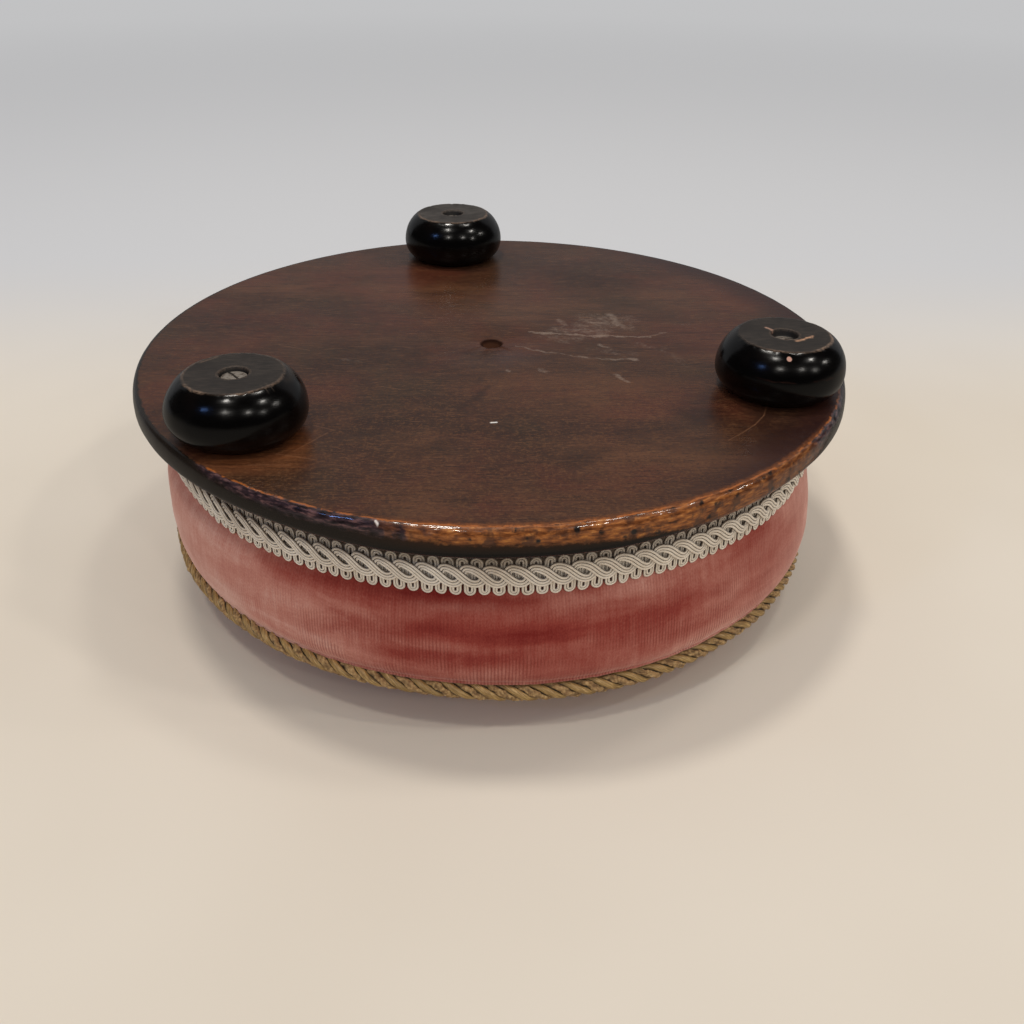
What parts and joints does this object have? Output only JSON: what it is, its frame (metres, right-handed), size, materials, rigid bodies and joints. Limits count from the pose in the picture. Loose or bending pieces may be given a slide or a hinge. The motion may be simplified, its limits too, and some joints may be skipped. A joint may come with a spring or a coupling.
{
  "type": "round footstool",
  "caption": "Low round footstool lying upside down: turned dark board on bun feet, velvet-covered drum and padded crown, cream scroll gimp and gold rope trim.",
  "frame": {"origin": "centre of the flat under the padded crown, on the stool's axis, which is the surface that the stool lies on in the picture", "axes": "+Z runs from the crown to the feet, so the stool is stored upside down, as it is pictured. Turn it half a turn about X to stand it on its feet. -Y faces the picture's viewer and +X is to the viewer's right, with the lone foot at the back towards +Y"},
  "size_m": [0.3, 0.3, 0.1177],
  "materials": {
    "board_wood": "satin dark stain, worn orange-brown at the front edge",
    "ebonised_wood": "gloss black lacquer with worn arrises",
    "inner_wood": "matte, bare beech and deal",
    "screw_iron": "satin, darkened",
    "tack_iron": "blued",
    "velvet": "matte cut pile with a sheen at grazing angles",
    "hair_stuffing": "matte",
    "wadding": "matte",
    "hessian": "matte plain weave",
    "gimp": "matte corded scrolls",
    "rope": "satin strands beside crepe strands"
  },
  "bodies": {
    "root": {"base_board": "board_wood", "foot_left": "ebonised_wood", "foot_right": "ebonised_wood", "foot_back": "ebonised_wood", "foot_screws": "screw_iron", "drum_hoop": "inner_wood", "hoop_nails": "tack_iron", "glue_blocks": "inner_wood", "drum_stuffing": "hair_stuffing", "hessian_cover": "hessian", "hessian_tacks": "tack_iron", "crown_stuffing": "hair_stuffing", "crown_wadding": "wadding", "crown_cover": "velvet", "cover_tacks": "tack_iron", "side_wadding": "wadding", "side_band": "velvet", "band_tacks": "tack_iron", "gimp_braid": "gimp", "rope_trim": "rope"}
  },
  "joints": []
}
